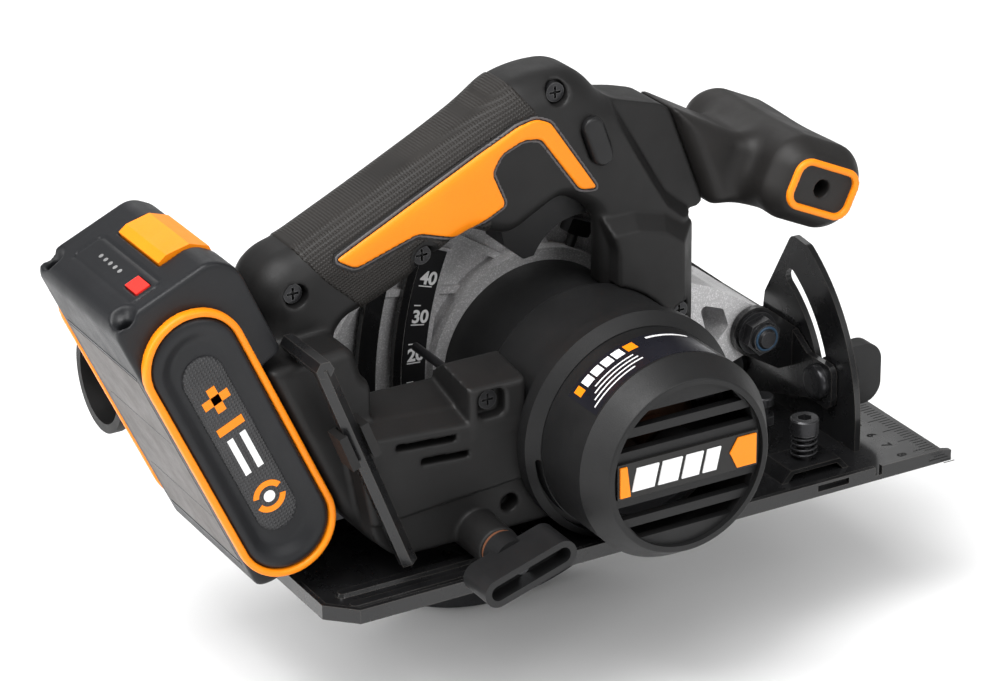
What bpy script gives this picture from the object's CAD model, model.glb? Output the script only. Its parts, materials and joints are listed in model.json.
import json
import math

import bmesh
import bpy
import numpy as np
from mathutils import Matrix, Vector


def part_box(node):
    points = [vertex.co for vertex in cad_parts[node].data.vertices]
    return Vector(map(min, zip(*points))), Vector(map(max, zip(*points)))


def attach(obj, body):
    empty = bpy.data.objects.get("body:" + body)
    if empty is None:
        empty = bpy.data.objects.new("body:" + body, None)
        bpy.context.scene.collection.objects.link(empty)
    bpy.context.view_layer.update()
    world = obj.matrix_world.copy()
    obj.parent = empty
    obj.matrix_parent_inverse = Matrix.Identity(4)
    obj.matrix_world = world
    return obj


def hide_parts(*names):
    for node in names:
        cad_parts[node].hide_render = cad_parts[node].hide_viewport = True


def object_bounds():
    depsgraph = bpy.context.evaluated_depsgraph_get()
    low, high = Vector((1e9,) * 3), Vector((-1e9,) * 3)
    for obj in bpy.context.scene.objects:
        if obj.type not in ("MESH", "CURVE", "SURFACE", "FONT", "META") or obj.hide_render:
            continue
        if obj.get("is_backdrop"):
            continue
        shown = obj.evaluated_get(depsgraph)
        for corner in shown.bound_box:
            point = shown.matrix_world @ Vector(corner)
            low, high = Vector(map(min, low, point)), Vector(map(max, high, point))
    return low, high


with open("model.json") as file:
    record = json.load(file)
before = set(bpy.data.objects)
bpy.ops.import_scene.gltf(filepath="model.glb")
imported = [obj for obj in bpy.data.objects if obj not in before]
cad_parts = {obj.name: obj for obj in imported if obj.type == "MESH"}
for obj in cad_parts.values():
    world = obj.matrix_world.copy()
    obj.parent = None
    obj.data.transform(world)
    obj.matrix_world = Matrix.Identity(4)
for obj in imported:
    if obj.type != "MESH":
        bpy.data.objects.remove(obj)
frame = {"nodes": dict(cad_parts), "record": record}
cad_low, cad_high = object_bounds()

MM = 0.001
VOXEL = 0.8

# ---------------------------------------------------------------- driving dimensions, mm

MID_Y = 12.0
GRIP_HALF = 17.0
MOTOR = (9.8, 44.5)
DEPTH_PIVOT = (97.0, 42.0)
PACK = (-136.5, 66.0)
PACK_TILT = 114.0
PACK_NEAR, PACK_FAR = -26.0, 50.0
KNOB = (-50.3, 14.7)
KNOB_BOSS_END = -50.0
LOCK_OFF = (17.0, 141.0)


def polar(centre, radius, degrees):
    """Point of a circle in a plane."""
    angle = math.radians(degrees)
    return (centre[0] + radius * math.cos(angle), centre[1] + radius * math.sin(angle))


def pack(u, v):
    """Point of the XZ plane from the battery's own axes: u up its length, v to the handle."""
    tilt = math.radians(PACK_TILT)
    x = PACK[0] + u * math.cos(tilt) + v * math.sin(tilt)
    z = PACK[1] + u * math.sin(tilt) - v * math.cos(tilt)
    return (x, z)


# ---------------------------------------------------------------- distance fields

def rounded(points, radius, steps=5):
    """The closed outline with its corners turned into short arcs."""
    out = []
    count = len(points)
    for i, corner in enumerate(points):
        p = Vector(points[i - 1])
        c = Vector(corner)
        n = Vector(points[(i + 1) % count])
        size = min(radius, (p - c).length * 0.48, (n - c).length * 0.48)
        a = c + (p - c).normalized() * size
        b = c + (n - c).normalized() * size
        for k in range(steps + 1):
            t = k / steps
            q = a * (1 - t) ** 2 + c * 2 * t * (1 - t) + b * t * t
            out.append((q.x, q.y))
    return out


def outline(points, a, b):
    """Signed distance from the closed outline, negative inside."""
    squared = np.full(np.broadcast(a, b).shape, 1e12, dtype=np.float32)
    sign = np.ones(squared.shape, dtype=np.float32)
    for i, (ax, az) in enumerate(points):
        bx, bz = points[(i + 1) % len(points)]
        ex, ez = bx - ax, bz - az
        if ex * ex + ez * ez < 1e-9:
            continue
        wx, wz = a - ax, b - az
        t = np.clip((wx * ex + wz * ez) / (ex * ex + ez * ez), 0, 1)
        squared = np.minimum(squared, (wx - ex * t) ** 2 + (wz - ez * t) ** 2)
        above, below = b >= az, b < bz
        left = ex * wz > ez * wx
        flip = (above & below & left) | (~above & ~below & ~left)
        sign = np.where(flip, -sign, sign)
    return sign * np.sqrt(squared)


def rounded_box(u, v, half_u, half_v, radius):
    """2D distance from a rounded rectangle."""
    qu, qv = np.abs(u) - half_u + radius, np.abs(v) - half_v + radius
    return (np.sqrt(np.maximum(qu, 0) ** 2 + np.maximum(qv, 0) ** 2)
            + np.minimum(np.maximum(qu, qv), 0) - radius)


def slab(flat, depth, radius):
    """Solid of an outline's distance and a depth's distance, its edges rounded."""
    u, v = flat + radius, depth + radius
    return (np.minimum(np.maximum(u, v), 0)
            + np.sqrt(np.maximum(u, 0) ** 2 + np.maximum(v, 0) ** 2) - radius)


def blend(a, b, k):
    """Union with a fillet of about k."""
    h = np.clip(0.5 + 0.5 * (b - a) / k, 0, 1)
    return b * (1 - h) + a * h - k * h * (1 - h)


def carve(a, b, k=0.3):
    """a without b, its edge eased by about k."""
    return -blend(-a, b, k)


def between(coordinate, low, high):
    """Distance from the span low..high of one coordinate."""
    return np.abs(coordinate - (low + high) / 2) - (high - low) / 2


class Grid:
    """Sample points of a box, in mm, as three open arrays."""

    def __init__(self, low, high, step=VOXEL):
        self.low = np.array(low, dtype=np.float32)
        self.step = step
        spans = [np.arange(low[i], high[i] + step, step, dtype=np.float32) for i in range(3)]
        self.x = spans[0][:, None, None]
        self.y = spans[1][None, :, None]
        self.z = spans[2][None, None, :]

    def disc(self, centre, radius):
        """Distance from a cylinder along Y."""
        return np.sqrt((self.x - centre[0]) ** 2 + (self.z - centre[1]) ** 2) - radius

    def shape(self, points):
        """Distance from an outline in the XZ plane."""
        return outline(points, self.x, self.z)


def net(name, field, grid):
    """Mesh of the field's zero surface by surface nets, shaded by the field's own slope."""
    shape = field.shape
    field = np.ascontiguousarray(np.broadcast_to(field, shape), dtype=np.float32)
    field = np.pad(field, 1, constant_values=10.0)
    inside = field < 0
    total = np.zeros(tuple(n - 1 for n in field.shape), dtype=np.int8)
    corners = [(i, j, k) for i in (0, 1) for j in (0, 1) for k in (0, 1)]
    size = total.shape
    for i, j, k in corners:
        total += inside[i:i + size[0], j:j + size[1], k:k + size[2]]
    active = (total > 0) & (total < 8)
    cells = np.argwhere(active)
    index = np.full(size, -1, dtype=np.int64)
    index[active] = np.arange(len(cells))
    value = {c: field[cells[:, 0] + c[0], cells[:, 1] + c[1], cells[:, 2] + c[2]]
             for c in corners}
    where = np.zeros((len(cells), 3))
    hits = np.zeros(len(cells))
    for a in corners:
        for axis in range(3):
            if a[axis]:
                continue
            b = tuple(1 if i == axis else a[i] for i in range(3))
            crossed = (value[a] < 0) != (value[b] < 0)
            t = np.where(crossed, value[a] / np.where(crossed, value[a] - value[b], 1), 0)
            for i in range(3):
                where[:, i] += np.where(crossed, a[i] + (t if i == axis else 0), 0)
            hits += crossed
    where = cells + where / hits[:, None]
    faces = []
    for axis in range(3):
        u, v = (axis + 1) % 3, (axis + 2) % 3
        low = [slice(1, -1)] * 3
        low[axis] = slice(0, -1)
        high = [slice(1, -1)] * 3
        high[axis] = slice(1, None)
        changed = inside[tuple(low)] != inside[tuple(high)]
        spots = np.argwhere(changed)
        spots[:, u] += 1
        spots[:, v] += 1
        starts_in = inside[spots[:, 0], spots[:, 1], spots[:, 2]]
        quad = []
        for du, dv in ((-1, -1), (0, -1), (0, 0), (-1, 0)):
            cell = spots.copy()
            cell[:, u] += du
            cell[:, v] += dv
            quad.append(index[cell[:, 0], cell[:, 1], cell[:, 2]])
        quad = np.stack(quad, 1)
        quad = np.where(starts_in[:, None], quad, quad[:, ::-1])
        faces.append(quad)
    faces = np.concatenate(faces)
    points = ((where - 1) * grid.step + grid.low) * MM
    mesh = bpy.data.meshes.new(name)
    mesh.vertices.add(len(points))
    mesh.vertices.foreach_set("co", points.astype(np.float32).ravel())
    mesh.loops.add(faces.size)
    mesh.loops.foreach_set("vertex_index", faces.astype(np.int32).ravel())
    mesh.polygons.add(len(faces))
    mesh.polygons.foreach_set("loop_start", np.arange(0, faces.size, 4, dtype=np.int32))
    mesh.update(calc_edges=True)
    mesh.validate()
    mesh.shade_smooth()
    piece = bpy.data.objects.new(name, mesh)
    bpy.context.scene.collection.objects.link(piece)
    return piece


# ---------------------------------------------------------------- materials

SPECULAR = 0.28
WAVE_UNIT = 0.314159        # a wave texture of scale 1 repeats every 0.314 m


def node_tree(name):
    """A new material with its nodes, its Principled shader and a shared position."""
    made = bpy.data.materials.new(name)
    made.use_nodes = True
    nodes, links = made.node_tree.nodes, made.node_tree.links
    shader = nodes["Principled BSDF"]
    shader.inputs["Specular IOR Level"].default_value = SPECULAR
    place = nodes.new("ShaderNodeTexCoord").outputs["Object"]
    return made, nodes, links, shader, place


def noise(nodes, links, place, scale, detail=3.0, rough=0.55, stretch=None):
    """Factor output of a noise texture, its position stretched if asked."""
    if stretch:
        mapping = nodes.new("ShaderNodeMapping")
        mapping.inputs["Scale"].default_value = stretch
        links.new(place, mapping.inputs["Vector"])
        place = mapping.outputs["Vector"]
    texture = nodes.new("ShaderNodeTexNoise")
    texture.inputs["Scale"].default_value = scale
    texture.inputs["Detail"].default_value = detail
    texture.inputs["Roughness"].default_value = rough
    links.new(place, texture.inputs["Vector"])
    return texture.outputs["Fac"]


def ramp(nodes, links, factor, stops):
    """Colour ramp with (position, colour) stops."""
    node = nodes.new("ShaderNodeValToRGB")
    elements = node.color_ramp.elements
    elements[0].position, elements[0].color = stops[0][0], (*stops[0][1], 1)
    elements[1].position, elements[1].color = stops[-1][0], (*stops[-1][1], 1)
    for position, colour in stops[1:-1]:
        elements.new(position).color = (*colour, 1)
    links.new(factor, node.inputs["Fac"])
    return node.outputs["Color"]


def span(nodes, links, factor, low, high, from_low=0.3, from_high=0.7):
    """The factor mapped to low..high."""
    node = nodes.new("ShaderNodeMapRange")
    node.inputs["From Min"].default_value = from_low
    node.inputs["From Max"].default_value = from_high
    node.inputs["To Min"].default_value = low
    node.inputs["To Max"].default_value = high
    links.new(factor, node.inputs["Value"])
    return node.outputs["Result"]


def bump(nodes, links, shader, height, strength, distance):
    """Bump from a height."""
    node = nodes.new("ShaderNodeBump")
    node.inputs["Strength"].default_value = strength
    node.inputs["Distance"].default_value = distance
    links.new(height, node.inputs["Height"])
    links.new(node.outputs["Normal"], shader.inputs["Normal"])


def edge_wear(nodes, links, radius):
    """Factor that is high on convex and concave edges."""
    soft = nodes.new("ShaderNodeBevel")
    soft.samples = 4
    soft.inputs["Radius"].default_value = radius
    hard = nodes.new("ShaderNodeNewGeometry")
    dot = nodes.new("ShaderNodeVectorMath")
    dot.operation = "DOT_PRODUCT"
    links.new(soft.outputs["Normal"], dot.inputs[0])
    links.new(hard.outputs["Normal"], dot.inputs[1])
    return span(nodes, links, dot.outputs["Value"], 1.0, 0.0, 0.80, 0.995)


def mix(nodes, links, factor, a, b):
    """Colour mix; the factor is a socket or a number, a and b are sockets or colours."""
    node = nodes.new("ShaderNodeMix")
    node.data_type = "RGBA"
    if isinstance(factor, float):
        node.inputs["Factor"].default_value = factor
    else:
        links.new(factor, node.inputs["Factor"])
    for socket, colour in (("A", a), ("B", b)):
        target = [i for i in node.inputs if i.name == socket and i.type == "RGBA"][0]
        if isinstance(colour, tuple):
            target.default_value = (*colour, 1)
        else:
            links.new(colour, target)
    return [o for o in node.outputs if o.type == "RGBA"][0]


def plastic(name, colour, rough, grain=2600.0, strength=0.25, depth=0.00012, spread=0.25,
            wear=0.0):
    """Moulded plastic: spark-eroded grain, faint blotches and handling shine."""
    made, nodes, links, shader, place = node_tree(name)
    cloud = noise(nodes, links, place, 38.0, 4.0)
    dark = tuple(c * (1 - spread) for c in colour)
    light = tuple(min(1, c * (1 + spread)) for c in colour)
    tint = ramp(nodes, links, cloud, [(0.3, dark), (0.7, light)])
    speck = noise(nodes, links, place, grain, 2.0, 0.7)
    peak = tuple(min(1, c * 1.25) for c in colour)
    fine = ramp(nodes, links, speck, [(0.35, dark), (0.68, peak)])
    base = mix(nodes, links, 0.4, tint, fine)
    if wear:
        edge = edge_wear(nodes, links, 0.0006)
        scaled = nodes.new("ShaderNodeMath")
        scaled.operation = "MULTIPLY"
        scaled.inputs[1].default_value = wear
        links.new(edge, scaled.inputs[0])
        base = mix(nodes, links, scaled.outputs["Value"], base,
                   tuple(min(1, c * 2.2 + 0.02) for c in colour))
    links.new(base, shader.inputs["Base Color"])
    scuff = noise(nodes, links, place, 90.0, 6.0, 0.7)
    links.new(span(nodes, links, scuff, rough - 0.06, rough + 0.08), shader.inputs["Roughness"])
    bump(nodes, links, shader, speck, strength, depth)
    return made


def metal(name, colour, rough, metallic=1.0, stretch=None, scale=300.0, sparkle=0.0, coat=0.0,
          wear_colour=None):
    """Metal or metallic paint: brushing or sparkle, and bare edges if asked."""
    made, nodes, links, shader, place = node_tree(name)
    shader.inputs["Metallic"].default_value = metallic
    shader.inputs["Coat Weight"].default_value = coat
    shader.inputs["Coat Roughness"].default_value = 0.12
    lines = noise(nodes, links, place, scale, 5.0, 0.6, stretch)
    dark = tuple(c * 0.82 for c in colour)
    light = tuple(min(1, c * 1.12) for c in colour)
    base = ramp(nodes, links, lines, [(0.3, dark), (0.7, light)])
    if sparkle:
        flake = nodes.new("ShaderNodeTexVoronoi")
        flake.inputs["Scale"].default_value = 2400.0
        links.new(place, flake.inputs["Vector"])
        flake_tone = nodes.new("ShaderNodeSeparateColor")
        links.new(flake.outputs["Color"], flake_tone.inputs["Color"])
        spot = span(nodes, links, flake_tone.outputs["Red"], 0.0, sparkle, 0.6, 1.0)
        base = mix(nodes, links, spot, base, tuple(min(1, c * 1.7 + 0.1) for c in colour))
    if wear_colour:
        base = mix(nodes, links, edge_wear(nodes, links, 0.0005), base, wear_colour)
    links.new(base, shader.inputs["Base Color"])
    smear = noise(nodes, links, place, 60.0, 5.0, 0.6)
    links.new(span(nodes, links, smear, rough - 0.07, rough + 0.09), shader.inputs["Roughness"])
    bump(nodes, links, shader, lines, 0.15, 0.00006)
    return made


def knurled(name, colour, rough, pitch, turn, strength):
    """Rubber with fine crossed knurling on the XZ plane, turned by turn degrees."""
    made, nodes, links, shader, place = node_tree(name)
    rotate = nodes.new("ShaderNodeMapping")
    rotate.inputs["Rotation"].default_value = (0, math.radians(turn), 0)
    links.new(place, rotate.inputs["Vector"])
    heights = []
    for direction in ("X", "Z"):
        wave = nodes.new("ShaderNodeTexWave")
        wave.wave_type = "BANDS"
        wave.bands_direction = direction
        wave.wave_profile = "SIN"
        wave.inputs["Scale"].default_value = WAVE_UNIT / pitch
        wave.inputs["Distortion"].default_value = 0.0
        links.new(rotate.outputs["Vector"], wave.inputs["Vector"])
        heights.append(wave.outputs["Fac"])
    multiply = nodes.new("ShaderNodeMath")
    multiply.operation = "MULTIPLY"
    links.new(heights[0], multiply.inputs[0])
    links.new(heights[1], multiply.inputs[1])
    height = multiply.outputs["Value"]
    dark = tuple(c * 0.55 for c in colour)
    base = ramp(nodes, links, height, [(0.05, dark), (0.6, colour)])
    cloud = noise(nodes, links, place, 45.0, 4.0)
    base = mix(nodes, links, span(nodes, links, cloud, 0.0, 0.35), base,
               tuple(min(1, c * 1.6) for c in colour))
    links.new(base, shader.inputs["Base Color"])
    links.new(span(nodes, links, cloud, rough - 0.05, rough + 0.08), shader.inputs["Roughness"])
    bump(nodes, links, shader, height, strength, 0.0003)
    return made


BLACK = (0.0085, 0.0082, 0.0082)
ORANGE = (0.90, 0.235, 0.004)
M = {
    "housing": plastic("housing_plastic", BLACK, 0.50),
    "motor": plastic("motor_plastic", (0.0085, 0.0085, 0.0088), 0.46, 2200.0, 0.5),
    "rubber": knurled("grip_rubber", (0.021, 0.0188, 0.0172), 0.50, 0.00115, 25.0, 1.0),
    "mesh_pad": knurled("mesh_pad", (0.050, 0.050, 0.052), 0.45, 0.0013, 24.0, 1.0),
    "soft": plastic("soft_rubber", (0.0125, 0.0115, 0.011), 0.50, 3000.0, 0.3),
    "orange": plastic("orange_plastic", ORANGE, 0.40, 3000.0, 0.12, 0.00008, 0.08),
    "black": plastic("trigger_plastic", (0.010, 0.010, 0.0105), 0.42, 3000.0, 0.2),
    "red": plastic("red_plastic", (0.78, 0.030, 0.022), 0.35, 3000.0, 0.05, 0.00005, 0.1),
    "battery": plastic("battery_plastic", (0.0095, 0.010, 0.0115), 0.42, 2600.0, 0.35),
    "gloss": plastic("gloss_panel", (0.012, 0.0115, 0.011), 0.22, 3000.0, 0.04),
    "sticker": plastic("sticker_film", (0.009, 0.009, 0.013), 0.30, 3000.0, 0.04),
    "label": plastic("label_film", (0.075, 0.066, 0.062), 0.42, 3000.0, 0.05),
    "grey_rim": plastic("grey_rim", (0.085, 0.080, 0.082), 0.45, 3000.0, 0.1),
    "dots": plastic("grey_dots", (0.20, 0.20, 0.20), 0.5, 3000.0, 0.05),
    "cast": metal("cast_metal", (0.50, 0.495, 0.50), 0.38, 0.35, scale=2600.0, sparkle=0.5),
    "steel_black": metal("black_steel", (0.008, 0.008, 0.0085), 0.27, 0.0, scale=160.0,
                         coat=0.35, wear_colour=(0.06, 0.055, 0.05)),
    "zinc": metal("zinc_steel", (0.55, 0.56, 0.58), 0.3),
    "dark": metal("dark_steel", (0.030, 0.030, 0.032), 0.28, 0.6,
                  wear_colour=(0.10, 0.10, 0.10)),
    "blade": metal("blade_steel", (0.60, 0.60, 0.61), 0.28, stretch=(1.0, 1.0, 1.0), scale=900.0),
    "guard": metal("guard_steel", (0.045, 0.045, 0.048), 0.35, 0.6),
    "gear": metal("gear_steel", (0.42, 0.42, 0.43), 0.35),
    "copper": metal("copper", (0.16, 0.09, 0.06), 0.42, stretch=(1, 12, 1)),
    "magnet": plastic("magnet", (0.06, 0.06, 0.065), 0.6),
    "scale": plastic("scale_print", (0.012, 0.012, 0.013), 0.40, 3000.0, 0.06),
    "white": plastic("white_print", (0.80, 0.80, 0.80), 0.5, 3000.0, 0.05, 0.00005, 0.05),
    "etched": plastic("etched_marks", (0.006, 0.006, 0.006), 0.6, 3000.0, 0.05),
    "nylon": plastic("nylon_ring", (0.02, 0.05, 0.09), 0.35, 3000.0, 0.05),
    "ring": plastic("bronze_ring", (0.14, 0.055, 0.028), 0.4),
    "wrap": plastic("cell_wrap", (0.05, 0.16, 0.30), 0.35),
    "board": plastic("board", (0.015, 0.10, 0.035), 0.35),
}
SLOT_LOOK = {
    "housing_plastic": "housing", "motor_plastic": "motor", "grip_rubber": "soft",
    "orange_plastic": "orange", "trigger_plastic": "black", "red_plastic": "red",
    "battery_plastic": "battery", "cast_metal": "cast", "black_steel": "steel_black",
    "zinc_steel": "zinc", "dark_steel": "dark", "blade_steel": "blade",
    "guard_steel": "guard", "gear_steel": "gear", "copper": "copper", "magnet": "magnet",
    "scale_print": "scale", "bronze_ring": "ring", "cell_wrap": "wrap", "board": "board",
}

# CAD nodes: material, softened edges
EDGE = {"motor_housing": 0.4, "motor_end_cap": 0.6, "upper_guard": 0.5, "front_bracket": 0.35,
        "bevel_quadrant": 0.3, "depth_bracket": 0.3, "base_plate": 0.35, "bevel_knob": 0.7,
        "depth_knob": 0.8, "trigger": 1.6, "dust_port": 0.5,
        "hex_key": 0.35, "hex_key_clip": 0.4, "battery_latch": 0.6, "gauge_button": 0.4}
NODE_LOOK = {"hex_key": "steel_black"}
for row in frame["record"]["subparts"]:
    thing = frame["nodes"][row["node"]]
    look = NODE_LOOK.get(row["node"], SLOT_LOOK[row["material_slot"]])
    thing.data.materials.clear()
    thing.data.materials.append(M[look])
    if row["node"] in EDGE:
        ease = thing.modifiers.new("ease", "BEVEL")
        ease.width = EDGE[row["node"]] * MM
        ease.segments = 3
        ease.limit_method = "ANGLE"
        ease.angle_limit = math.radians(35)
        ease.harden_normals = False


def finish_piece(piece, look, body, slot, *nodes):
    """Material, body, slot and the CAD nodes that the piece stands for."""
    piece.data.materials.clear()
    piece.data.materials.append(M[look])
    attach(piece, body)
    if nodes:
        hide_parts(*nodes)
    return piece


# ---------------------------------------------------------------- housing

NEAR_FACE = {"neck": -11.0, "rear": -24.0, "box": -35.0}
FAR_FACE = 29.0
BOX_FAR = 12.0
BARREL_ROOM = 42.2
COVER_ROOM = 39.4
SCREW_ROOM = 4.3
KNOB_BOSS_R = 8.0
KNOB_BOLT_ROOM = 3.2
VENT_HALF = 1.2
HANDLE = [
    (-115.5, 95.1), (-118.0, 105.0), (-115.5, 113.5), (-108.5, 119.3), (-99.0, 121.8),
    (-69.5, 135.6), (-41.0, 149.6), (-26.0, 157.6), (-15.0, 165.6), (-2.0, 168.2),
    (9.5, 168.0), (17.0, 163.5), (26.0, 153.0), (52.0, 145.5), (68.0, 103.5), (58.0, 103.0),
    (56.0, 62.0), (23.0, 73.0), (17.5, 113.0), (4.0, 122.0), (-17.0, 111.0),
    (-25.0, 113.0), (-33.0, 117.0), (-42.0, 113.5), (-60.0, 103.0), (-74.0, 97.0),
    (-86.0, 93.0), (-90.0, 84.0), (-88.0, 66.0), (-112.0, 64.0), pack(18.0, 20.0),
]
CROWN = HANDLE[:13] + [(120.0, 145.0), (120.0, 20.0), (-200.0, 20.0), (-200.0, 60.0)]
RIDGE = [
    (4.0, 190.0), (4.8, 172.5), (18.5, 158.5), (27.6, 142.8), (41.1, 119.5), (47.3, 109.3),
    (58.0, 100.5), (62.0, 60.0), (120.0, 60.0), (120.0, 190.0),
]
NECK = [(19.0, 110.5), (33.0, 113.5), (47.3, 109.8), (60.0, 100.5), (60.0, 60.0), (23.0, 70.0),
        (23.0, 98.0)]
NECK_BEVEL = NECK[1:5] + [(-60.0, 60.0), (-60.0, 113.5)]
REAR = [
    pack(17.0, 20.0), (-92.0, 92.0), (-88.0, 78.0), (-40.0, 66.0), (-40.0, 12.0),
    (-84.0, 12.0), pack(-56.0, 22.0), pack(-50.0, 20.0),
]
ELECTRONICS = [
    (-100.0, 70.0), (-97.0, 77.5), (-42.0, 71.5), (-16.0, 66.0), (-16.0, 12.0),
    (-82.0, 12.0), (-91.0, 20.0),
]
TRIGGER_ROOM = [
    (-19.5, 100.0), (-6.0, 93.0), (26.0, 104.0), (21.0, 114.0), (18.0, 121.0),
    (8.0, 135.0), (-19.0, 135.0), (-21.8, 117.0),
]
GRIP_SCREW = (-53.0, 110.5)
SCREWS = [((-104.0, 107.0), -5.0), (GRIP_SCREW, -5.0), ((2.0, 161.0), -5.0),
          ((-44.0, 64.0), NEAR_FACE["box"]), ((51.0, 68.0), NEAR_FACE["neck"])]
VENTS = [(-70.5, 54.6, 12.0), (-63.0, 47.2, 9.5)]

g = Grid((-137, -52, 2), (72, 32, 178))
thickness = between(g.y, MID_Y - GRIP_HALF, MID_Y + GRIP_HALF)
handle = slab(g.shape(rounded(HANDLE, 5)), thickness, 6.0)
handle = np.maximum(handle, slab(g.shape(rounded(CROWN, 12)), thickness, 13.0))
# The front column is set back beyond a ridge, with a steep chamfer between
ridge = g.shape(rounded(RIDGE, 1.5, 3))
step = np.maximum((g.y + 5.0 + 1.6 * ridge) / 1.9, g.y - 2.0)
handle = carve(handle, np.maximum(step, ridge), 0.5)
neck = slab(g.shape(rounded(NECK, 2)), between(g.y, NEAR_FACE["neck"], FAR_FACE), 0.8)
neck = np.maximum(neck, (g.shape(rounded(NECK_BEVEL, 1)) - 11.0 - g.y + 9.0) / 1.414)
# The column's rear face leans forward towards the blade side
lean = np.maximum((g.x - 23.0 - 0.62 * (g.y - 9.0)) / 1.18, np.maximum(g.z - 110.0, 5.0 - g.x))
handle = carve(handle, lean, 1.0)
neck = carve(neck, lean, 1.0)
rear = slab(g.shape(rounded(REAR, 4)), between(g.y, NEAR_FACE["rear"], FAR_FACE), 4)
side = slab(g.shape(rounded(ELECTRONICS, 4)), between(g.y, NEAR_FACE["box"], BOX_FAR), 2.2)
# The box's lid slopes up from the near edge and then falls, with a raised block at the screw
fall = 66.0 - 0.72 * (g.y + 10.0)
lid = np.minimum(58.6 - 0.07 * (g.x + 67.0) + 0.28 * (g.y + 35.0), fall + 0.5)
block_top = np.minimum(70.5 + 0.15 * (g.y + 35.0), fall + 4.0)
block = np.maximum(between(g.x, -53.0, -30.0), (g.z - block_top) / 1.05)
block = slab(np.maximum(block, 50.0 - g.z), between(g.y, NEAR_FACE["box"], -6), 2.0)
side = blend(slab(side, (g.z - lid) / 1.06, 1.6), block, 1.2)
over = np.maximum((np.minimum(lid, fall + 0.5) - g.z) / 1.06, between(g.x, -86.0, -20.0))
rear = carve(rear, over, 1.2)
shell = blend(blend(blend(handle, neck, 0.6), rear, 2.5), side, 2.0)
low_line = [(-94.0, 8.0), (-10.0, 8.0), (-10.0, 33.0), (-94.0, 27.0)]
shell = carve(shell, slab(g.shape(low_line), between(g.y, -60, -33.2), 0.5), 0.8)
recess = slab(rounded_box(g.x + 44.0, g.z - 63.6, 5.4, 5.2, 3.0), between(g.y, -60, -29.5), 0.4)
shell = carve(shell, recess, 0.8)
knob_boss = np.maximum(g.disc(KNOB, KNOB_BOSS_R), between(g.y, KNOB_BOSS_END, 0))
shell = blend(shell, knob_boss, 1.2)
shell = carve(shell, np.maximum(g.shape(TRIGGER_ROOM), np.abs(g.y - MID_Y) - 7.5), 0.6)
for spot, face in SCREWS:
    room = np.maximum(g.disc(spot, SCREW_ROOM), between(g.y, face - 20, face + 6))
    shell = carve(shell, room, 0.8)
# Slot of the lock-off button, a stadium on the near flank
lock_slot = [polar(LOCK_OFF, 10.4, -70), polar(LOCK_OFF, 10.4, 110)]
along = Vector(lock_slot[1]) - Vector(lock_slot[0])
pill_t = np.clip(((g.x - lock_slot[0][0]) * along.x + (g.z - lock_slot[0][1]) * along.y)
                 / along.length_squared, 0.29, 0.71)
pill = np.sqrt((g.x - lock_slot[0][0] - along.x * pill_t) ** 2
               + (g.z - lock_slot[0][1] - along.y * pill_t) ** 2) - 4.5
shell = carve(shell, np.maximum(pill, between(g.y, -40, 3)), 0.5)
vent_tilt = math.radians(-4)
for vent_x, vent_z, half_length in VENTS:
    dx, dz = g.x - vent_x, g.z - vent_z
    du = dx * math.cos(vent_tilt) + dz * math.sin(vent_tilt)
    dv = -dx * math.sin(vent_tilt) + dz * math.cos(vent_tilt)
    vent = np.maximum(np.abs(du) - half_length, np.abs(dv) - VENT_HALF)
    vent = np.maximum(vent, between(g.y, -40, -27))
    shell = carve(shell, vent, 0.3)
shell = carve(shell, np.maximum(g.disc((-36.5, 22.0), 3.4), between(g.y, -40, -26)), 0.4)
shell = carve(shell, np.maximum(g.disc(MOTOR, BARREL_ROOM), between(g.y, -70, -4.0)), 0.3)
shell = carve(shell, np.maximum(g.disc(MOTOR, COVER_ROOM), between(g.y, -5, 40)), 0.3)
shell = carve(shell, np.maximum(g.disc(KNOB, KNOB_BOLT_ROOM), between(g.y, -70, 40)), 0.2)
piece = net("housing_body", shell, g)
finish_piece(piece, "housing", "saw_body", "housing_plastic", "housing_left", "housing_right")

# Rubber grip, orange panels and their grey rim, on the same surface
RUBBER = [
    (-104.5, 126.0), (-70.5, 141.0), (-42.0, 155.0), (-28.0, 163.5), (-18.5, 171.5),
    (-15.5, 171.5), (-12.5, 163.0), (-4.2, 152.1), (-14.0, 152.5), (-26.0, 146.0), (-26.0, 109.0),
    (-33.0, 113.0), (-42.0, 109.5), (-60.0, 99.0), (-75.0, 93.0), (-83.0, 101.0),
    (-93.0, 110.2), (-99.9, 119.0),
]
ACCENT = [
    (-88.4, 117.0), (-15.0, 152.5), (-8.0, 154.0), (-2.0, 151.5), (17.5, 122.5),
    (10.0, 123.5), (-6.0, 146.0), (-13.0, 147.0), (-22.0, 143.5), (-26.0, 137.0),
    (-20.5, 124.0), (-39.0, 115.0), (-56.0, 120.5), (-81.0, 112.7),
]
GRIP_PROUD, PANEL_PROUD, RIM_PROUD, SUNK = 0.45, 0.75, 0.55, 1.2
skin = handle - GRIP_PROUD
rubber_zone = g.shape(rounded(RUBBER, 3))
accent_zone = g.shape(rounded(ACCENT, 2.0))
inner = -(handle + SUNK)
grip = carve(np.maximum(skin, inner), -rubber_zone, 0.5)
grip = carve(grip, accent_zone - 1.7, 0.4)
grip = carve(grip, g.disc(GRIP_SCREW, 6.0), 0.6)
piece = net("grip_skin", grip, g)
finish_piece(piece, "rubber", "saw_body", "grip_rubber", "grip_overmould")
flank = 10.0 - np.abs(g.y - MID_Y)
panel = slab(accent_zone, handle - PANEL_PROUD, 0.5)
panel = np.maximum(np.maximum(panel, inner), flank)
piece = net("accent_skin", panel, g)
finish_piece(piece, "orange", "saw_body", "orange_plastic", "accent_panels")
rim = slab(np.abs(accent_zone - 0.75) - 0.55, handle - RIM_PROUD, 0.3)
rim = np.maximum(np.maximum(rim, inner), flank)
piece = net("accent_rim", rim, g)
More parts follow.
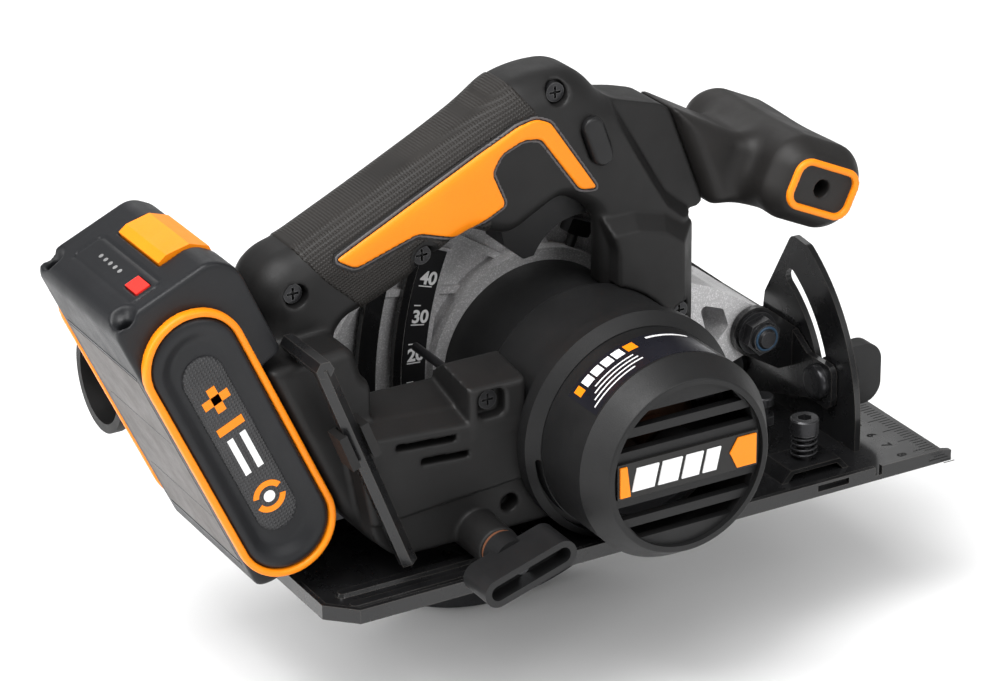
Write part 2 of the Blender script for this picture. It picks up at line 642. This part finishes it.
finish_piece(piece, "grey_rim", "saw_body", "grip_rubber")

# ---------------------------------------------------------------- front handle

BAR_FAR = Vector((101, 49, 113))
BAR_NEAR = Vector((101, -27, 112))
BAR_TILT = math.radians(25)
bar_mid = (BAR_FAR + BAR_NEAR) / 2
bar_dir = (BAR_NEAR - BAR_FAR).normalized()
bar_half = (BAR_NEAR - BAR_FAR).length / 2
bar_x = Vector((math.cos(BAR_TILT), 0, -math.sin(BAR_TILT)))
bar_x = (bar_x - bar_dir * bar_x.dot(bar_dir)).normalized()
bar_y = bar_dir.cross(bar_x)
STUB = [(52.2, 145.4), (80.0, 129.8), (104.0, 122.0), (104.0, 104.0), (78.0, 102.6),
        (68.2, 103.5)]

g = Grid((48, -32, 84), (128, 56, 150))
dx, dy, dz = g.x - bar_mid.x, g.y - bar_mid.y, g.z - bar_mid.z
along_bar = dx * bar_dir.x + dy * bar_dir.y + dz * bar_dir.z
across_bar = dx * bar_x.x + dy * bar_x.y + dz * bar_x.z
up_bar = dx * bar_y.x + dy * bar_y.y + dz * bar_y.z
waist = 1.0 - 0.05 * np.exp(-((along_bar - 2) / 18.0) ** 2)
TAPER_LENGTH = 10.0
end_part = np.clip((np.abs(along_bar) - bar_half + TAPER_LENGTH) / TAPER_LENGTH, 0, 1)
taper = 6.0 * end_part ** 1.5
bar_section = rounded_box(across_bar / waist, up_bar / waist, 20.5, 16.5, 13) + taper
bar = slab(bar_section, np.abs(along_bar) - bar_half, 2.5)
stub = slab(g.shape(rounded(STUB, 4)), np.abs(g.y - MID_Y) - GRIP_HALF + 1, 6)
front = blend(bar, stub, 9)
recess = np.maximum(rounded_box(across_bar, up_bar, 13.0, 7.8, 4.5), bar_half - 1.2 - along_bar)
front = carve(front, recess, 0.3)
bore = np.sqrt(across_bar ** 2 + up_bar ** 2) - 3.4
front = carve(front, np.maximum(bore, bar_half - 22 - along_bar), 0.4)
piece = net("front_handle_skin", front, g)
finish_piece(piece, "soft", "saw_body", "grip_rubber", "front_handle_grip", "front_handle_core")
ring = np.maximum(rounded_box(across_bar, up_bar, 15.2, 10.0, 6.5),
                  -rounded_box(across_bar, up_bar, 12.6, 7.4, 4.0))
ring = slab(ring, np.abs(along_bar - bar_half + 0.6) - 1.3, 0.6)
piece = net("front_handle_band", ring, g)
finish_piece(piece, "orange", "saw_body", "orange_plastic", "front_handle_ring")

# ---------------------------------------------------------------- battery

PACK_TOP, PACK_BACK = 66.0, -19.0
CASE = [(-54.5, PACK_BACK), (62, PACK_BACK), (PACK_TOP, -15), (PACK_TOP, 22), (58, 29),
        (20, 29), (20, 19), (-50, 19), (-56.5, 12), (-56.5, -13)]

tilt = math.radians(PACK_TILT)
g = Grid((-182, -28, 8), (-96, 52, 142))
u = (g.x - PACK[0]) * math.cos(tilt) + (g.z - PACK[1]) * math.sin(tilt)
v = (g.x - PACK[0]) * math.sin(tilt) - (g.z - PACK[1]) * math.cos(tilt)


def in_pack(points, radius):
    """Distance from an outline given in the battery's axes."""
    return outline(rounded(points, radius), u, v)


def pill_in_pack(half_length, half_width):
    """Distance from a stadium round the battery's middle."""
    reach = half_length - half_width
    return np.sqrt((u - np.clip(u, -reach, reach)) ** 2 + v ** 2) - half_width


body = slab(in_pack(CASE, 4), between(g.y, PACK_NEAR + 4, PACK_FAR - 4), 1.5)
# Each cheek sinks into a smooth bowl
depth = np.clip((1.0 - pill_in_pack(50, 14.5)) / 7.0, 0, 1)
bowl = 2.6 * depth * depth * (3 - 2 * depth)
cheek_face = np.abs(g.y - MID_Y) - (PACK_FAR - PACK_NEAR) / 2 + 0.6 + bowl
cheeks = slab(pill_in_pack(54.5, 16.9), cheek_face, 2.5)
cheeks = np.maximum(cheeks, cheek_face)
case = np.minimum(body, cheeks)
# Screw holes of the top's two rear corners
for hole_y in (-18.2, 42.2):
    reach = np.sqrt((g.y - hole_y) ** 2 + (v + 13.6) ** 2)
    case = carve(case, np.maximum(reach - 2.5, 50.0 - u), 0.6)
    case = carve(case, np.sqrt(reach ** 2 + (u - 68.0) ** 2) - 6.0, 0.5)
channel = np.maximum(in_pack([(-62, 12), (3, 12), (3, 24), (-62, 24)], 0.5), between(g.y, 2, 22))
case = carve(case, channel, 0.4)
latch_room = np.maximum(in_pack([(54, 9), (72, 9), (72, 33), (54, 33)], 0.5), between(g.y, -5, 29))
case = carve(case, latch_room, 0.4)
groove = np.maximum(np.abs(rounded_box(g.y - 9.5, v + 1.5, 24.5, 6.2, 2.5)) - 0.35, 65.2 - u)
case = carve(case, groove, 0.2)
button_room = np.maximum(between(g.y, -12.5, -2.9), between(v, -4.2, 1.8))
case = carve(case, np.maximum(button_room, 59.8 - u), 0.2)
piece = net("battery_body", case, g)
finish_piece(piece, "battery", "battery", "battery_plastic", "battery_case")


def on_both_cheeks(flat, inset, half, radius):
    """The flat shape as a plate in each cheek, inset from the pack's widest faces."""
    return np.minimum(slab(flat, np.abs(g.y - PACK_NEAR - inset) - half, radius),
                      slab(flat, np.abs(g.y - PACK_FAR + inset) - half, radius))


hoop = np.maximum(pill_in_pack(57.3, 19.3), -pill_in_pack(54.6, 16.7))
piece = net("battery_bands", on_both_cheeks(hoop, 2.3, 2.1, 1.0), g)
finish_piece(piece, "orange", "battery", "orange_plastic", "battery_trims")

piece = net("battery_pads", on_both_cheeks(pill_in_pack(38.5, 8.0), 3.0, 0.9, 0.4), g)
finish_piece(piece, "mesh_pad", "battery", "battery_plastic")


# ---------------------------------------------------------------- marks

CAP_FACE, CAP_R, BADGE_PROUD = -79.0, 39.0, 0.75
FILM = 0.04                 # marks on the film start just inside its surface
SOLE_TOP, RULER_END, RULER_TEXT_X, RULER_START = 2.0, 145.6, 129.5, 40.0
SCALE_R, SCALE_FIRST, SCALE_STEP = 140.3, 163.0, 3.15


def prism(points, place, thick, base=-0.1):
    """Vertices and faces of a thin plate, its outline anticlockwise from the outside."""
    count = len(points)
    verts = [place(a, b, base) for a, b in points] + [place(a, b, thick) for a, b in points]
    faces = [tuple(range(count - 1, -1, -1)), tuple(range(count, 2 * count))]
    for i in range(count):
        j = (i + 1) % count
        faces.append((i, j, count + j, count + i))
    return verts, faces


def bar(a, b, wide, high, place, thick, lean=0.0, base=-0.1):
    """A small slanted bar with its middle at (a, b)."""
    w, h = wide / 2, high / 2
    points = [(a - w - lean, b - h), (a + w - lean, b - h),
              (a + w + lean, b + h), (a - w + lean, b + h)]
    return prism(points, place, thick, base)


def disc(a, b, radius, place, thick, base=-0.1):
    """A small round plate."""
    turns = [math.tau * i / 24 for i in range(24)]
    points = [(a + radius * math.cos(t), b + radius * math.sin(t)) for t in turns]
    return prism(points, place, thick, base)


def band(low_a, high_a, low_b, high_b, place, thick, steps=24, base=-0.05):
    """A thin plate that bends along a."""
    verts, faces = [], []
    for i in range(steps + 1):
        a = low_a + (high_a - low_a) * i / steps
        for h in (base, thick):
            verts += [place(a, low_b, h), place(a, high_b, h)]
    for k in range(0, 4 * steps, 4):
        n = k + 4
        faces += [(k, k + 1, n + 1, n), (k + 2, n + 2, n + 3, k + 3),
                  (k, n, n + 2, k + 2), (k + 1, k + 3, n + 3, n + 1)]
    last = 4 * steps
    faces += [(0, 2, 3, 1), (last, last + 1, last + 3, last + 2)]
    return verts, faces


def number(text, size, place, thick):
    """Vertices and faces of a number, centred, its baseline along a."""
    curve = bpy.data.curves.new("number", "FONT")
    curve.body = text
    curve.size = size
    curve.align_x = "CENTER"
    curve.extrude = thick / 2
    curve.offset = 0.03 * size
    holder = bpy.data.objects.new("number", curve)
    mesh = bpy.data.meshes.new_from_object(holder)
    verts = [place(p.co.x, p.co.y, p.co.z + thick / 2) for p in mesh.vertices]
    faces = [tuple(p.vertices) for p in mesh.polygons]
    bpy.data.objects.remove(holder)
    bpy.data.curves.remove(curve)
    bpy.data.meshes.remove(mesh)
    return verts, faces


def printed(name, chunks, look, body, slot, *nodes):
    """One piece from several chunks of vertices and faces, in mm."""
    verts, faces = [], []
    for more, shapes in chunks:
        faces += [tuple(i + len(verts) for i in shape) for shape in shapes]
        verts += [tuple(c * MM for c in p) for p in more]
    mesh = bpy.data.meshes.new(name)
    mesh.from_pydata(verts, [], faces)
    build = bmesh.new()
    build.from_mesh(mesh)
    bmesh.ops.recalc_face_normals(build, faces=build.faces)
    build.to_mesh(mesh)
    build.free()
    piece = bpy.data.objects.new(name, mesh)
    bpy.context.scene.collection.objects.link(piece)
    return finish_piece(piece, look, body, slot, *nodes)


# Depth scale: long ticks with numbers, short ticks between
SCALE_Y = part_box("depth_scale")[0][1] / MM
marks = []
for step_count in range(8):
    turn = SCALE_FIRST + SCALE_STEP * step_count
    long_tick = step_count % 2 == 0
    out = polar(DEPTH_PIVOT, SCALE_R, turn)
    cos, sin = math.cos(math.radians(turn)), math.sin(math.radians(turn))

    def on_scale(a, b, h, out=out, cos=cos, sin=sin):
        return (out[0] - a * cos + b * sin, SCALE_Y - h, out[1] - a * sin - b * cos)

    def over_tick(a, b, h, tick=on_scale):
        return tick(a + 3.9, b + 0.9, h)

    middle, length = (3.2, 5.6) if long_tick else (1.8, 2.8)
    marks.append(bar(middle, 0, length, 0.42, on_scale, 0.08))
    if long_tick:
        marks.append(number(str(40 - 5 * step_count), 6.9, over_tick, 0.1))
printed("scale_marks", marks, "white", "saw_body", "scale_print")

# Ruler of the sole's front edge
def on_sole(a, b, h):
    return (a, b, SOLE_TOP + h)


marks = []
for tick in range(47, 16, -1):
    length = 9.0 if tick % 5 == 0 else 5.0
    tick_y = RULER_START - 2.0 * tick
    marks.append(bar(RULER_END - length / 2, tick_y, length, 0.38, on_sole, 0.05))
for label in range(2, 9):
    label_y = RULER_START - 10.0 * label

    def beside(a, b, h, y=label_y):
        return on_sole(RULER_TEXT_X + b, y - a, h)

    marks.append(number(str(label), 5.2, beside, 0.06))
printed("ruler_marks", marks, "etched", "base", "black_steel")


# Badge of the motor cap
def on_badge(a, b, h):
    return (MOTOR[0] + a, CAP_FACE - h, MOTOR[1] + b)


printed("badge_plate", [bar(0, 0, 58.0, 13.6, on_badge, 0.15, base=-1.4)], "gloss", "saw_body",
        "trigger_plastic", "end_badge")
chevron = [(28.2, -5.8), (28.2, 5.8), (20.6, 5.8), (17.2, 0.4), (20.2, -5.8)]
wedge = [(-28.2, -5.8), (-24.0, -5.8), (-25.4, 5.8), (-28.2, 5.8)]
printed("badge_marks", [prism(shape, on_badge, BADGE_PROUD) for shape in (chevron, wedge)],
        "orange", "saw_body", "orange_plastic")
STRIPES = [(-17.8, 9.0), (-7.6, 8.0), (1.6, 7.0), (9.6, 5.6)]
stripes = [bar(a, 0, wide, 8.6, on_badge, BADGE_PROUD, lean=1.0) for a, wide in STRIPES]
printed("badge_stripes", stripes, "white", "saw_body", "scale_print")


# Blank rating sticker round the motor cap
def on_cap(a, b, h):
    turn = math.radians(a)
    radius = CAP_R + h
    return (MOTOR[0] + radius * math.cos(turn), b, MOTOR[1] + radius * math.sin(turn))


printed("rating_sticker", [band(62, 144, -69, -50, on_cap, 0.10, 40)], "sticker", "saw_body",
        "scale_print")
FLASH_LOW, FLASH_HIGH = -56.6, -52.0
lines = []
for i, length in enumerate((30, 34, 30, 26)):
    start, low = 141 - 3 * i, -66.4 + 2.2 * i
    lines.append(band(start, start - length, low, low + 0.6, on_cap, 0.16, 16, FILM))
lines.append(band(92, 66, -53.0, -51.8, on_cap, 0.16, 16, FILM))
for i in range(4):
    start = 134.6 - 7 * i
    lines.append(band(start, start - 5.6, FLASH_LOW, FLASH_HIGH, on_cap, 0.16, 8, FILM))
printed("sticker_lines", lines, "white", "saw_body", "scale_print")
flashes = [band(start, end, FLASH_LOW, FLASH_HIGH, on_cap, 0.17, 6, FILM)
           for start, end in ((141, 136.5), (106, 100))]
printed("sticker_flash", flashes, "orange", "saw_body", "orange_plastic")


# Battery: gauge dots, blank label on the back, plain marks on the near cheek
def on_top(a, b, h):
    x, z = pack(PACK_TOP + h, b)
    return (x, MID_Y - a, z)


dots = [disc(MID_Y - dot_y, -1.2, 0.95, on_top, 0.08) for dot_y in (22.5, 18.6, 14.7, 10.8, 6.9)]
printed("gauge_dots", dots, "dots", "battery", "battery_plastic")


def on_back(a, b, h):
    x, z = pack(b, PACK_BACK - h)
    return (x, MID_Y - a, z)


LABEL_LINES = [(41.6, 58.0, 0.8), (-45.6, 58.0, 0.8), (10, 50.0, 0.5), (-24, 50.0, 0.5)]
printed("battery_label", [bar(0, -2, 58.0, 84.0, on_back, 0.10)], "label", "battery",
        "battery_plastic")
printed("label_frame", [bar(0, b, wide, high, on_back, 0.16) for b, wide, high in LABEL_LINES],
        "sticker", "battery", "battery_plastic")


def on_cheek(a, b, h):
    x, z = pack(b, a)
    return (x, PACK_NEAR + 2.1 - h, z)


MARK = 0.12
ROUND_MARK = (0, -24)
marks = [bar(0, 21, 10.5, 3.4, on_cheek, MARK), bar(0, 21, 3.4, 10.5, on_cheek, MARK),
         bar(0, 9, 10.5, 3.2, on_cheek, MARK)]
for low, high in ((20, 160), (200, 340)):
    arc = [polar(ROUND_MARK, 6.2, low + (high - low) * i / 14) for i in range(15)]
    arc += [polar(ROUND_MARK, 4.0, high - (high - low) * i / 14) for i in range(15)]
    marks.append(prism(arc, on_cheek, MARK))
printed("cheek_marks", marks, "orange", "battery", "orange_plastic")
marks = [bar(a, -3.5, 2.4, 16, on_cheek, MARK) for a in (-2.6, 2.6)]
marks.append(disc(*ROUND_MARK, 2.2, on_cheek, MARK))
printed("cheek_bars", marks, "white", "battery", "scale_print")

# Nylon ring of the lock nut on the depth pivot
ring_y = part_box("depth_pivot_nut")[0][1] / MM
ring_place = (DEPTH_PIVOT[0] * MM, (ring_y + 0.1) * MM, DEPTH_PIVOT[1] * MM)
bpy.ops.mesh.primitive_torus_add(major_radius=4.5 * MM, minor_radius=0.55 * MM,
                                 major_segments=48, minor_segments=10,
                                 rotation=(math.pi / 2, 0, 0), location=ring_place)
piece = bpy.context.object
piece.name = "nylon_ring"
finish_piece(piece, "nylon", "tilt_frame", "cell_wrap")

# ---------------------------------------------------------------- stage

floor_z = cad_low[2]
floor_mesh = bpy.data.meshes.new("floor")
FLOOR_HALF = 12.0
floor_corners = [(-FLOOR_HALF, -FLOOR_HALF), (FLOOR_HALF, -FLOOR_HALF),
                 (FLOOR_HALF, FLOOR_HALF), (-FLOOR_HALF, FLOOR_HALF)]
floor_mesh.from_pydata([(x, y, floor_z) for x, y in floor_corners], [], [(0, 1, 2, 3)])
floor = bpy.data.objects.new("floor", floor_mesh)
bpy.context.scene.collection.objects.link(floor)
made, nodes, links, shader, place = node_tree("floor_paper")
grainy = noise(nodes, links, place, 4.0, 3.0)
links.new(ramp(nodes, links, grainy, [(0.3, (0.86, 0.86, 0.86)), (0.7, (0.90, 0.90, 0.90))]),
          shader.inputs["Base Color"])
shader.inputs["Roughness"].default_value = 0.9
floor_mesh.materials.append(made)
floor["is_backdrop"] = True

world = bpy.data.worlds.new("studio")
bpy.context.scene.world = world
world.use_nodes = True
sky = world.node_tree.nodes["Background"]
sky.inputs["Color"].default_value = (1, 1, 1, 1)
sky.inputs["Strength"].default_value = 0.38
bpy.context.scene.view_settings.view_transform = "Standard"
bpy.context.scene.view_settings.look = "None"


def softbox(name, place, target, size, power):
    """A rectangular area lamp aimed at a point."""
    lamp = bpy.data.lights.new(name, "AREA")
    lamp.shape = "RECTANGLE"
    lamp.size, lamp.size_y = size
    lamp.energy = power
    holder = bpy.data.objects.new(name, lamp)
    holder.location = place
    holder.rotation_euler = (Vector(target) - Vector(place)).to_track_quat("-Z", "Y").to_euler()
    bpy.context.scene.collection.objects.link(holder)


softbox("key", (-0.6, -0.2, 1.3), (0, 0, 0.05), (0.9, 0.6), 13.0)
softbox("left", (-1.5, 0.1, 0.7), (0, 0, 0.05), (0.5, 0.9), 12.0)
softbox("right", (0.4, -1.3, 0.9), (0, 0, 0.08), (1.0, 0.7), 9.0)
softbox("back", (0.5, 1.2, 0.9), (0, 0, 0.08), (1.0, 0.6), 2.5)
sun = bpy.data.lights.new("sun", "SUN")
sun.energy = 1.9
sun.angle = math.radians(50)
sun_holder = bpy.data.objects.new("sun", sun)
sun_holder.rotation_euler = (math.radians(18), math.radians(-24), 0)
bpy.context.scene.collection.objects.link(sun_holder)

CAMERA = (-0.5879, -1.0104, 0.5853)
AZIMUTH, ELEVATION, ROLL = math.radians(-29.3), math.radians(24.0), math.radians(-0.8)
right = Vector((math.cos(AZIMUTH), math.sin(AZIMUTH), 0))
forward = Vector((-math.sin(AZIMUTH) * math.cos(ELEVATION),
                  math.cos(AZIMUTH) * math.cos(ELEVATION), -math.sin(ELEVATION)))
up = right.cross(forward)
turned_right = right * math.cos(ROLL) + up * math.sin(ROLL)
turned_up = -right * math.sin(ROLL) + up * math.cos(ROLL)
camera = bpy.data.cameras.new("camera")
camera.lens = 126.0
camera.sensor_width = 36.0
holder = bpy.data.objects.new("camera", camera)
holder.matrix_world = Matrix((
    (turned_right.x, turned_up.x, -forward.x, CAMERA[0]),
    (turned_right.y, turned_up.y, -forward.y, CAMERA[1]),
    (turned_right.z, turned_up.z, -forward.z, CAMERA[2]),
    (0, 0, 0, 1),
))
bpy.context.scene.collection.objects.link(holder)
bpy.context.scene.camera = holder

low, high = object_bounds()
{"cad": [list(cad_low), list(cad_high)], "visual": [list(low), list(high)]}
